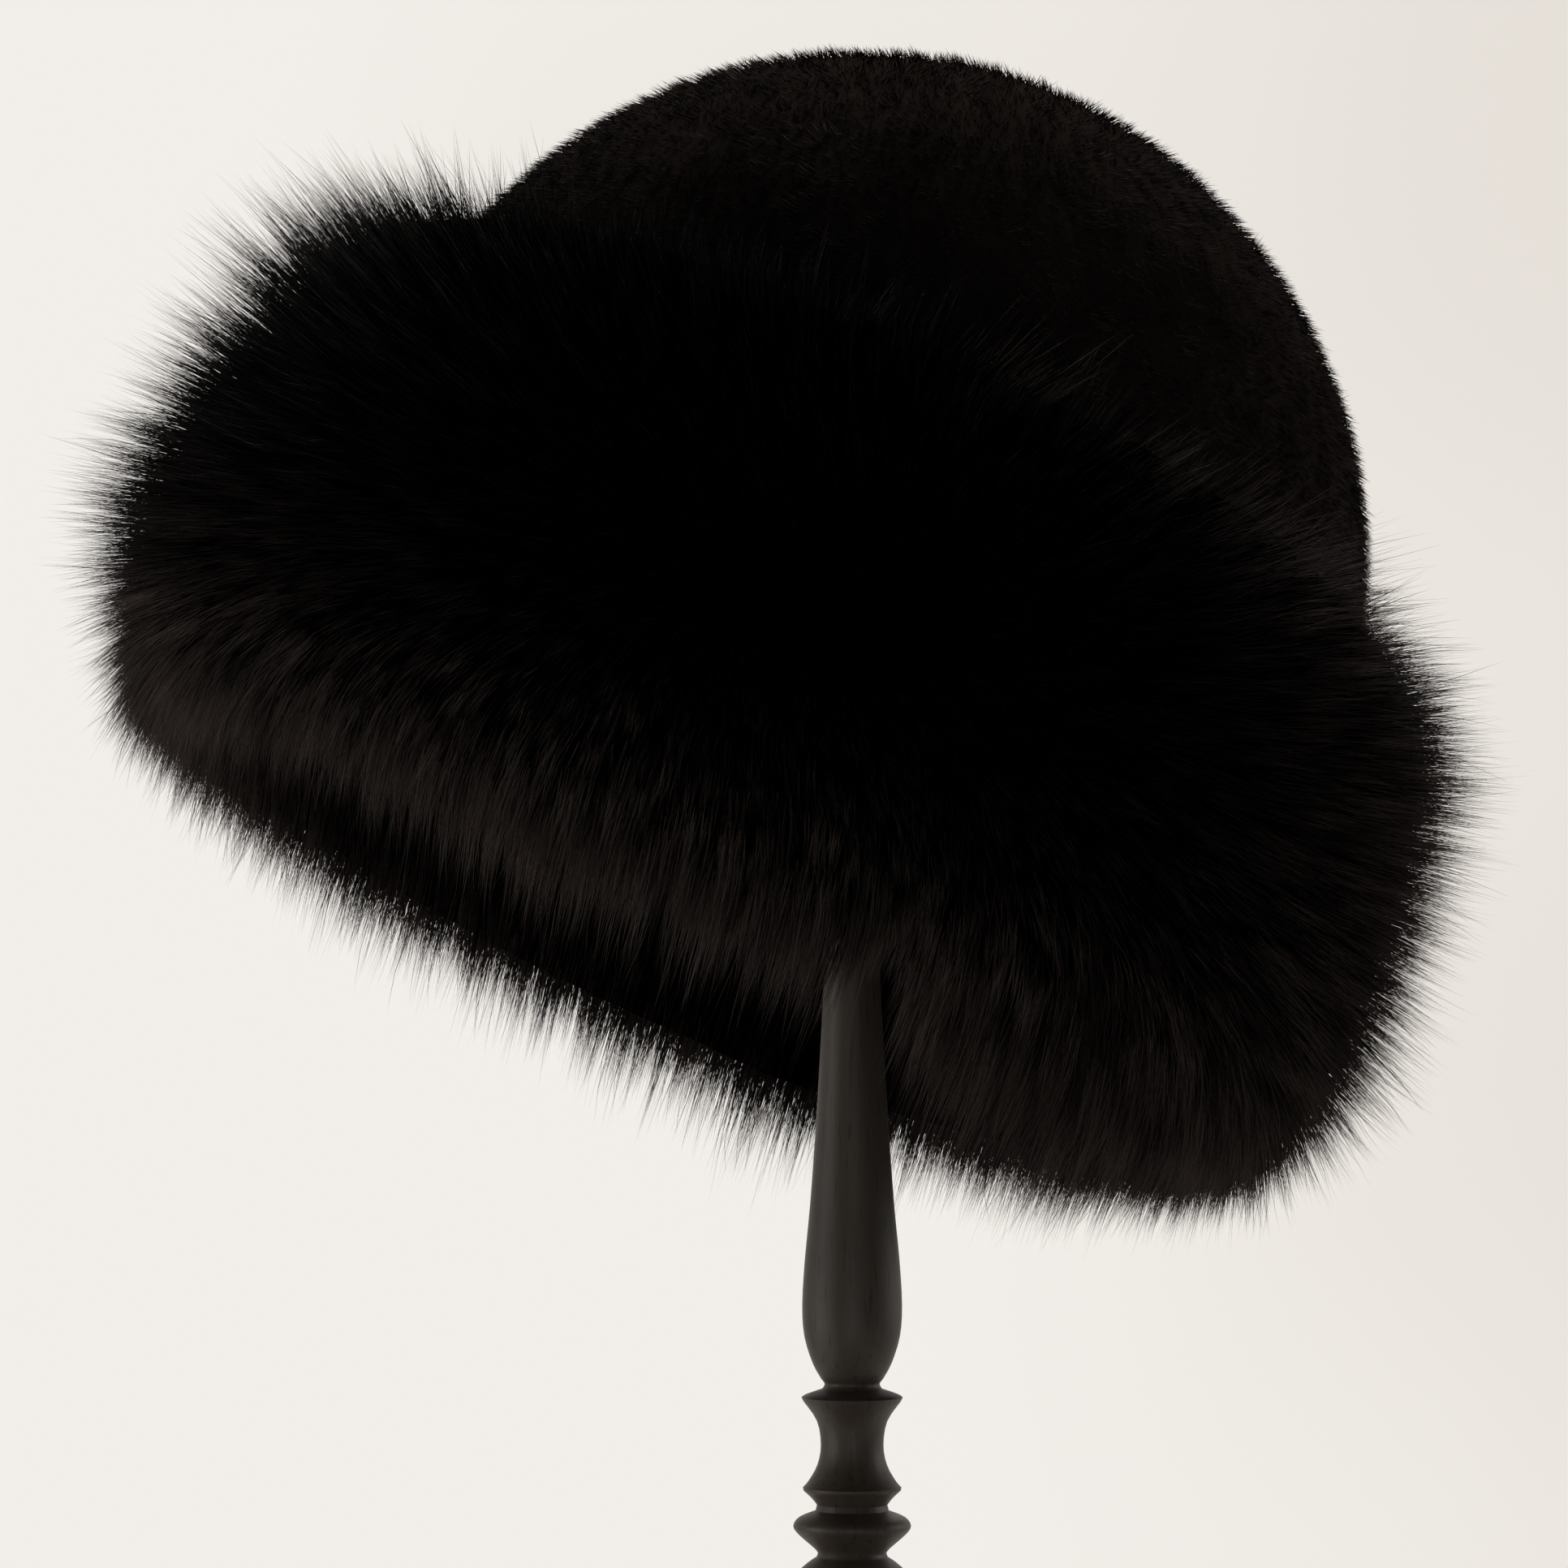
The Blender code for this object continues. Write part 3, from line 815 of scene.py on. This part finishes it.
def strand_arrays(points, places, radii, tones, chance):
    """Vertices, faces and map of closed three-sided strands through their points to a sharp tip."""
    count, levels = points.shape[:2]
    rings = levels - 1
    ahead = np.diff(points, axis=1)
    along = unit(np.concatenate([ahead[:, :1], ahead[:, 1:] + ahead[:, :-1]], axis=1))
    side = unit(np.cross(along, chance.normal(size=(count, 1, 3))))
    up = np.cross(along, side)
    corners = []
    for corner in range(3):
        angle = FULL_TURN * corner / 3
        corners.append(points[:, :-1] + radii * (math.cos(angle) * side + math.sin(angle) * up))
    body = np.stack(corners, axis=2).reshape(count, rings * 3, 3)
    vertices = np.concatenate([body, points[:, -1:]], axis=1)

    faces, sides, rows = strand_faces(rings)
    numbers = faces[None] + (np.arange(count) * vertices.shape[1])[:, None, None]
    across = STRIP_HALF + (1 - 2 * STRIP_HALF) * tones[:, None, None] + STRIP_HALF * sides[None]
    up_strip = np.broadcast_to(np.array(places)[rows][None], across.shape)
    strips = np.stack([across, up_strip], axis=-1)
    return vertices.reshape(-1, 3), numbers.reshape(-1, 3), strips.reshape(-1, 3, 2)


def strand_piece(name, parts, material):
    """One mesh object from several sets of strand arrays."""
    all_vertices, all_faces, all_strips = zip(*parts)
    offsets = np.cumsum([0] + [len(vertices) for vertices in all_vertices])
    vertices = np.concatenate(all_vertices)
    faces = np.concatenate([faces + offset for faces, offset in zip(all_faces, offsets)])
    mesh = bpy.data.meshes.new(name)
    mesh.vertices.add(len(vertices))
    mesh.vertices.foreach_set("co", vertices.ravel())
    mesh.loops.add(faces.size)
    mesh.loops.foreach_set("vertex_index", faces.ravel().astype(np.int32))
    mesh.polygons.add(len(faces))
    mesh.polygons.foreach_set("loop_start", np.arange(0, faces.size, 3, dtype=np.int32))
    layer = mesh.uv_layers.new(name="OFBake")
    layer.data.foreach_set("uv", np.concatenate(all_strips).ravel())
    mesh.update(calc_edges=True)
    mesh.validate()
    mesh.materials.append(material)
    ob = bpy.data.objects.new(name, mesh)
    bpy.context.scene.collection.objects.link(ob)
    return ob


def guard_lengths(count, chance):
    """Length shares of the long hair: many shorter ones and a share of guard hairs over them."""
    is_guard = chance.random(count) < GUARD_SHARE
    return np.where(is_guard, chance.uniform(*GUARD_LENGTHS, count), chance.uniform(*UNDER_LENGTHS, count))


def short_lengths(count, chance):
    """Length shares of the underfur's spikes."""
    return chance.uniform(*SHORT_FUR_LENGTHS, count)


class FURHAT_OT_studio(bpy.types.Operator):
    """Set the photo's camera, a pale floor, a cream backdrop and soft lights."""

    bl_idname = "furhat.studio"
    bl_label = "Camera, Floor and Lights"

    def execute(self, context):
        settings = context.scene.furhat_studio
        self.make_camera(context)
        self.make_floor(settings.floor_radius)
        self.make_backdrop(context, settings)
        for name, (place, aim, size, watts, colour) in LIGHTS.items():
            self.make_light(name, place, aim, size, watts, colour)
        context.scene.view_settings.view_transform = "Standard"
        return {"FINISHED"}

    def make_camera(self, context):
        """Stand the camera where the photo was taken from."""
        deselect()
        pitch = math.pi / 2 + math.atan2(AIM_Z - CAMERA_Z, CAMERA_DISTANCE)
        bpy.ops.object.camera_add(
            location=(CAMERA_X, -CAMERA_DISTANCE, CAMERA_Z), rotation=(pitch, 0.0, 0.0)
        )
        camera = context.object
        camera.name = "photo_camera"
        camera.data.sensor_width = SENSOR_WIDTH
        camera.data.lens = SENSOR_WIDTH * CAMERA_DISTANCE / VIEW_WIDTH
        context.scene.camera = camera

    def make_floor(self, radius):
        """Lay a pale round floor that fades out towards its edge."""
        deselect()
        bpy.ops.mesh.primitive_circle_add(
            vertices=96, radius=radius, fill_type="NGON", location=(0.0, 0.0, -0.5 * MM)
        )
        floor = bpy.context.object
        floor.name = "floor"
        bpy.ops.object.transform_apply(location=True)
        material, tree, shader = new_material("pale_floor")
        place = add_node(tree, "TexCoord").outputs["Object"]
        distance = maths(tree, "LENGTH", place, kind="VectorMath")
        inputs = {"Value": distance, "From Min": 0.15 * radius, "From Max": 0.85 * radius}
        inputs |= {"To Min": 1.0, "To Max": 0.0}
        fade = add_node(tree, "MapRange", inputs, interpolation_type="SMOOTHSTEP")
        look = {"Base Color": (0.86, 0.84, 0.81, 1.0), "Roughness": 0.9, "Alpha": fade.outputs["Result"]}
        feed(tree, shader, look)
        floor.data.materials.append(material)

    def make_backdrop(self, context, settings):
        """Camera rays see a plain cream backdrop; the lighting is bright behind and dark in front."""
        world = bpy.data.worlds.new("studio")
        context.scene.world = world
        world.use_nodes = True
        tree = world.node_tree
        seen = tree.nodes["Background"]
        place = add_node(tree, "TexCoord").outputs["Generated"]
        patches = noise_texture(tree, place, Scale=5.0, Detail=1.0)
        sideways = maths(tree, "DOT_PRODUCT", place, (2.8, 0.0, 0.0), kind="VectorMath")
        darker = {"Value": maths(tree, "ADD", patches, sideways), "From Min": 0.45, "From Max": 0.95}
        mottle = add_node(tree, "MapRange", darker, interpolation_type="SMOOTHSTEP").outputs["Result"]
        cream = mix(tree, mottle, (*settings.backdrop, 1.0), (*settings.backdrop_shade, 1.0))
        feed(tree, seen, {"Color": cream})
        glow = SKY_GLOW
        for direction, sharpness, strength in SKY_LOBES:
            towards = Vector(direction).normalized()
            facing = maths(tree, "DOT_PRODUCT", place, towards, kind="VectorMath")
            sharp = maths(tree, "POWER", maths(tree, "MAXIMUM", facing, 0.0), sharpness)
            glow = maths(tree, "MULTIPLY_ADD", sharp, strength, glow)
        lit = add_node(tree, "Background", {"Color": SKY_COLOUR, "Strength": glow})
        path = add_node(tree, "LightPath").outputs["Is Camera Ray"]
        choices = {"Fac": path, 1: lit.outputs["Background"], 2: seen.outputs["Background"]}
        choose = add_node(tree, "MixShader", choices)
        feed(tree, tree.nodes["World Output"], {"Surface": choose.outputs["Shader"]})

    def make_light(self, name, place, aim, size, watts, colour):
        """Hang a round light that the camera doesn't see."""
        deselect()
        facing = (Vector(aim) - Vector(place)).to_track_quat("-Z", "Y").to_euler()
        bpy.ops.object.light_add(type="AREA", location=place, rotation=facing)
        light = bpy.context.object
        light.name = name
        light.data.shape = "DISK"
        light.data.size = size
        light.data.energy = watts
        light.data.color = colour
        light.visible_camera = False


class FURHAT_OT_crown_hide(bpy.types.Operator):
    """Make the crown's hide, an open hollow dome with skin outside and suede inside."""

    bl_idname = "furhat.crown_hide"
    bl_label = "Crown Hide"

    def execute(self, context):
        settings = context.scene.furhat_hide
        outer = dome_line(SCALP_DROP, steps=40)
        inner = dome_line(CROWN_WALL, steps=30)
        crown = turn_piece("crown_hide", outer + inner[::-1], settings.sides)
        points = mesh_points(crown)
        set_mesh_points(crown, place_on_stand(points))
        skin = hide_material("skin_under_fur", settings.skin, nap_scale=700.0, depth=0.4 * MM)
        crown.data.materials.append(skin)
        crown.data.materials.append(suede_material(settings))
        middle_radius = CROWN_RADIUS - CROWN_WALL / 2
        middle_top = CROWN_HEIGHT - CROWN_WALL / 2
        for face in crown.data.polygons:
            centre = points[list(face.vertices)].mean(axis=0)
            rise = (abs(centre[2]) / middle_top) ** CROWN_POWER
            reach = (math.hypot(centre[0], centre[1]) / middle_radius) ** CROWN_POWER
            face.material_index = 0 if rise + reach > 1.0 else 1
        finish_piece(crown, ["crown"], angle=60.0)
        return {"FINISHED"}


class FURHAT_OT_crown_pile(bpy.types.Operator):
    """Grow the crown's short sheared pile, combed down the dome in soft tufts."""

    bl_idname = "furhat.crown_pile"
    bl_label = "Crown Pile"

    def execute(self, context):
        settings = context.scene.furhat_fur
        chance = np.random.default_rng(21)
        count = settings.pile_hairs
        roots, out, down = self.scatter(count, chance)
        around = np.cross(out, down)
        tufts = self.scatter(int(SCALP_AREA / PILE_TUFT**2), chance)[0]
        tuft = nearest_tufts(roots, tufts)
        tuft_lean = chance.uniform(*TUFT_LEANS, len(tufts))
        tuft_turn = chance.normal(0.0, TUFT_SWIRL, len(tufts))
        tuft_tone = chance.random(len(tufts))
        lean = tuft_lean[tuft] * chance.uniform(*HAIR_LEANS, count)
        swirl = tuft_turn[tuft] + chance.normal(0.0, HAIR_SWIRL, count)
        swirl += SWIRL_FLOW * noise_at(roots, SWIRL_FINENESS)
        length = chance.uniform(*PILE_LENGTHS, count)
        is_long = chance.random(count) < PILE_LONG_SHARE
        length = np.where(is_long, chance.uniform(PILE_LENGTHS[1], PILE_LONG, count), length)
        combed = np.cos(swirl)[:, None] * down + np.sin(swirl)[:, None] * around
        tips = roots + length[:, None] * unit(out + lean[:, None] * combed)
        gathered = tufts[tuft] + PILE_PULL_HEIGHT * length[:, None] * out
        tips += PILE_PULL * (1.0 - is_long[:, None]) * (gathered - tips)
        tone = PILE_TONE + STREAK_TONE * noise_at(roots * STREAK_FINENESS, 1.0)
        roots = roots - PILE_ROOT_DEPTH * out
        middles = (roots + tips) / 2 + PILE_ARCH * length[:, None] * out
        arcs = np.stack([place_on_stand(points) for points in (roots, middles, tips)])
        points = along_arc(arcs, (0.0, 1.0))
        radii = 0.5 * settings.pile_width * chance.uniform(*PILE_WIDTHS, (count, 1, 1))
        patches = noise_at(arcs[0], PATCH_FINENESS)
        patches += SMALL_PATCH_TONE * noise_at(arcs[0], SMALL_PATCH_FINENESS)
        tone += PATCH_TONE * patches
        tone += SINGLE_TONE * (tuft_tone[tuft] + chance.random(count) - 1.0)
        part = strand_arrays(points, (0.0, 1.0), radii, np.clip(tone, 0.0, 1.0), chance)
        material = hair_material(
            "sheared_pile", settings.black, settings.brown, roughness=0.8, gloss=0.03
        )
        finish_piece(strand_piece("crown_pile", [part], material))
        return {"FINISHED"}

    def scatter(self, count, chance):
        """Even places on the scalp of the upright crown, with the outward and downward directions."""
        line = np.array(dome_line(SCALP_DROP, steps=300))
        numbers = np.arange(len(line))
        step = np.diff(line, axis=0)
        areas = np.hypot(step[:, 0], step[:, 1]) * (line[1:, 0] + line[:-1, 0])
        along = pick_by_area(count, areas, numbers, chance)
        radius, height = (np.interp(along, numbers, column) for column in line.T)
        slope = unit(step[np.minimum(along.astype(int), len(step) - 1)])
        turn = chance.random(count) * FULL_TURN
        down = upright(slope[:, 0], slope[:, 1], turn)
        out = upright(-slope[:, 1], slope[:, 0], turn)
        return upright(radius, height, turn), out, down


class FURHAT_OT_brim_hide(bpy.types.Operator):
    """Make the brim's thin flared wall of hide."""

    bl_idname = "furhat.brim_hide"
    bl_label = "Brim Hide"

    def execute(self, context):
        settings = context.scene.furhat_hide
        along = np.linspace(WALL_HEIGHTS[0], WALL_HEIGHTS[-1], 12)
        outer = [(float(radius), float(height)) for radius, height in zip(wall_radius(along), along)]
        inner = [(radius - BRIM_WALL, height) for radius, height in outer]
        brim = turn_piece("brim_hide", outer + inner[::-1], settings.sides, closed=True)
        set_mesh_points(brim, place_on_stand(mesh_points(brim)))
        brim.data.materials.append(suede_material(settings))
        finish_piece(brim, ["brim"], angle=50.0)
        return {"FINISHED"}


class FURHAT_OT_underfur(bpy.types.Operator):
    """Make the brim's dense underfur: a rough mat round the brim with short spikes all over it."""

    bl_idname = "furhat.underfur"
    bl_label = "Brim Underfur"

    def execute(self, context):
        settings = context.scene.furhat_fur
        mat = turn_piece("underfur_mat", self.section(), context.scene.furhat_hide.sides, closed=True)
        points = self.follow_fullness(mesh_points(mat), settings.side_fullness)
        radius = np.hypot(points[:, 0], points[:, 1])
        outward = unit(points * np.array((1.0, 1.0, 0.0)))
        stands_out = np.clip((radius - wall_radius(points[:, 2])) / MAT_SMOOTH_DEPTH, 0.0, 1.0)
        points += outward * (MAT_ROUGHNESS * noise_at(points, MAT_LUMPS) * stands_out)[:, None]
        set_mesh_points(mat, place_on_stand(points))
        depth = hide_material("fur_depth", settings.black, nap_scale=500.0, depth=0.8 * MM)
        mat.data.materials.append(depth)
        finish_piece(mat, ["brim_fur"])

        chance = np.random.default_rng(33)
        arcs, tone = brim_hair(
            settings.short_hairs, chance, short_lengths, settings.side_fullness, UNDERFUR_PULL
        )[:2]
        places = (HAIR_START, 1.0)
        points = along_arc(arcs, places)
        radii = 0.5 * settings.under_width * chance.uniform(*UNDERFUR_WIDTHS, (len(tone), 1, 1))
        part = strand_arrays(points, places, radii, UNDERFUR_TONE * tone, chance)
        brown = tuple(UNDERFUR_BROWN * value for value in settings.brown)
        material = hair_material("underfur_hair", settings.black, brown, roughness=0.8, gloss=0.02)
        finish_piece(strand_piece("underfur_spikes", [part], material))
        return {"FINISHED"}

    def follow_fullness(self, points, share):
        """Draw the mat's outer points in where the hair is shorter and out where it is longer."""
        outer = np.array(self.section()[:MAT_STEPS])
        flat = np.stack([np.hypot(points[:, 0], points[:, 1]), points[:, 2]], axis=-1)
        away = np.linalg.norm(flat[:, None] - outer[None], axis=-1)
        ring = MAT_RINGS[away.argmin(axis=1)]
        turn = np.arctan2(points[:, 1], points[:, 0])
        fuller = fullness(ring, turn, share)
        moved = np.where(fuller < 0.0, fuller, MAT_FOLLOWS * fuller)
        moved *= away.min(axis=1) < MAT_GAP
        roots = np.stack(at_ring(ring, FUR_LINES)[:2], axis=-1)
        flat += moved[:, None] * (flat - roots)
        return upright(flat[:, 0], flat[:, 1], turn)

    def section(self):
        """Closed section of the mat: round the outside, then back up beside the brim's wall."""
        root_radius, root_height, tip_radius, tip_height = at_ring(MAT_RINGS, FUR_LINES)
        radius = root_radius + MAT_SHARE * (tip_radius - root_radius)
        height = root_height + MAT_SHARE * (tip_height - root_height)
        edge_height, edge_radius = WALL_HEIGHTS[-1], WALL_RADII[-1]
        inside = edge_radius - BRIM_WALL - MAT_GAP
        crown_side = dome_radius(CROWN_RIM, CROWN_RADIUS, CROWN_HEIGHT) + MAT_GAP
        section = [
            *zip(radius, height),
            (inside - MAT_INNER_BULGE, MAT_INSIDE),
            (inside, edge_height - MAT_GAP),
            (edge_radius + MAT_GAP, edge_height - MAT_GAP),
            *zip(WALL_RADII[-2:0:-1] + MAT_GAP, WALL_HEIGHTS[-2:0:-1]),
            (crown_side, CROWN_RIM),
            (crown_side, MAT_TOP),
        ]
        return [(float(r), float(h)) for r, h in section]


class FURHAT_OT_guard_hair(bpy.types.Operator):
    """Grow the brim's long guard hair in tufts, as one piece for each quarter of the brim."""

    bl_idname = "furhat.guard_hair"
    bl_label = "Brim Guard Hair"

    def execute(self, context):
        settings = context.scene.furhat_fur
        chance = np.random.default_rng(7)
        count = settings.guard_hairs
        arcs, tone, turn = brim_hair(
            count, chance, guard_lengths, settings.side_fullness, settings.tuft_pull
        )
        bent = chance.random(count) < settings.bent_share
        width = 0.5 * settings.hair_width * chance.uniform(*GUARD_WIDTHS, count)
        material = hair_material("guard_hair", settings.black, settings.brown, roughness=0.5, gloss=0.03)
        quarter = (turn / (math.pi / 2)).astype(int) % 4
        for number, name in enumerate(("right_back", "left_back", "left_front", "right_front")):
            parts = []
            for chosen, places, taper in (
                (bent, (HAIR_START, HAIR_BEND, 1.0), (1.0, BEND_WIDTH)),
                (~bent, (HAIR_START, 1.0), (1.0,)),
            ):
                pick = np.flatnonzero(chosen & (quarter == number))
                points = along_arc(arcs[:, pick], places)
                radii = width[pick][:, None, None] * np.array(taper)[None, :, None]
                parts.append(strand_arrays(points, places, radii, tone[pick], chance))
            finish_piece(strand_piece("guard_hair_" + name, parts, material))
        return {"FINISHED"}


class FURHAT_OT_stand(bpy.types.Operator):
    """Turn the stand's head, post and foot in dark stained wood."""

    bl_idname = "furhat.stand"
    bl_label = "Turned Stand"

    def execute(self, context):
        settings = context.scene.furhat_stand
        wood = wood_material(settings.stain, settings.grain)
        head_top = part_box("stand_head")[1].z
        post_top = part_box("stand_post")[1].z
        post_line = [(0.0, post_top), (POST_TOP_RADIUS * MM, post_top)] + smooth_line(POST_LINE)
        post_line.append((0.0, post_line[-1][1]))
        base_line = smooth_line(BASE_LINE)
        base_line = [(0.0, base_line[0][1])] + base_line + [(0.0, 0.0)]
        for name, line, node in (
            ("turned_head", self.head_line(head_top), "stand_head"),
            ("turned_post", post_line, "stand_post"),
            ("turned_foot", base_line, "stand_base"),
        ):
            piece = turn_piece(name, line, settings.sides)
            piece.data.materials.append(wood)
            finish_piece(piece, [node], angle=42.0)
        return {"FINISHED"}

    def head_line(self, top):
        """Profile of the stand's head: a shallow dome, a rounded edge and a cove to its neck."""
        line = []
        widest = math.asin(HEAD_RADIUS / HEAD_DOME)
        for i in range(HEAD_ARCS + 1):
            angle = widest * i / HEAD_ARCS
            line.append((HEAD_DOME * math.sin(angle), -HEAD_DOME * (1.0 - math.cos(angle))))
        edge_radius, edge_height = line[-1]
        line.append((edge_radius, edge_height - HEAD_EDGE))
        cove = HEAD_DEPTH + edge_height - HEAD_EDGE
        for i in range(1, HEAD_ARCS + 1):
            angle = math.pi / 2 * i / HEAD_ARCS
            radius = HEAD_NECK + (edge_radius - HEAD_NECK) * (1.0 - math.sin(angle))
            line.append((radius, edge_height - HEAD_EDGE - cove * (1.0 - math.cos(angle))))
        line.append((0.0, line[-1][1]))
        return [(radius, top + height) for radius, height in line]


class FURHAT_PT_panel(bpy.types.Panel):
    """Sidebar panel that lists the hat's makers and their settings."""

    bl_idname = "FURHAT_PT_panel"
    bl_label = "Fur Bucket Hat"
    bl_space_type = "VIEW_3D"
    bl_region_type = "UI"
    bl_category = "Fur Hat"

    def draw(self, context):
        scene = context.scene
        for maker in MAKERS:
            self.layout.operator(maker.bl_idname)
        for group in (scene.furhat_fur, scene.furhat_hide, scene.furhat_stand, scene.furhat_studio):
            box = self.layout.box()
            for name in group.__annotations__:
                box.prop(group, name)


SETTINGS = {
    "furhat_fur": FurHatFurSettings,
    "furhat_hide": FurHatHideSettings,
    "furhat_stand": FurHatStandSettings,
    "furhat_studio": FurHatStudioSettings,
}
MAKERS = (
    FURHAT_OT_studio,
    FURHAT_OT_stand,
    FURHAT_OT_crown_hide,
    FURHAT_OT_crown_pile,
    FURHAT_OT_brim_hide,
    FURHAT_OT_underfur,
    FURHAT_OT_guard_hair,
)


def register():
    """Add the settings, makers and panel to Blender."""
    for kind in (*SETTINGS.values(), *MAKERS, FURHAT_PT_panel):
        bpy.utils.register_class(kind)
    for name, kind in SETTINGS.items():
        setattr(bpy.types.Scene, name, PointerProperty(type=kind))


def unregister():
    """Take the settings, makers and panel out of Blender."""
    for name in SETTINGS:
        delattr(bpy.types.Scene, name)
    for kind in (FURHAT_PT_panel, *reversed(MAKERS), *SETTINGS.values()):
        bpy.utils.unregister_class(kind)


def main():
    """Make every piece in order."""
    register()
    bpy.ops.furhat.studio()
    bpy.ops.furhat.stand()
    bpy.ops.furhat.crown_hide()
    bpy.ops.furhat.crown_pile()
    bpy.ops.furhat.brim_hide()
    bpy.ops.furhat.underfur()
    bpy.ops.furhat.guard_hair()


if __name__ == "__main__":
    main()
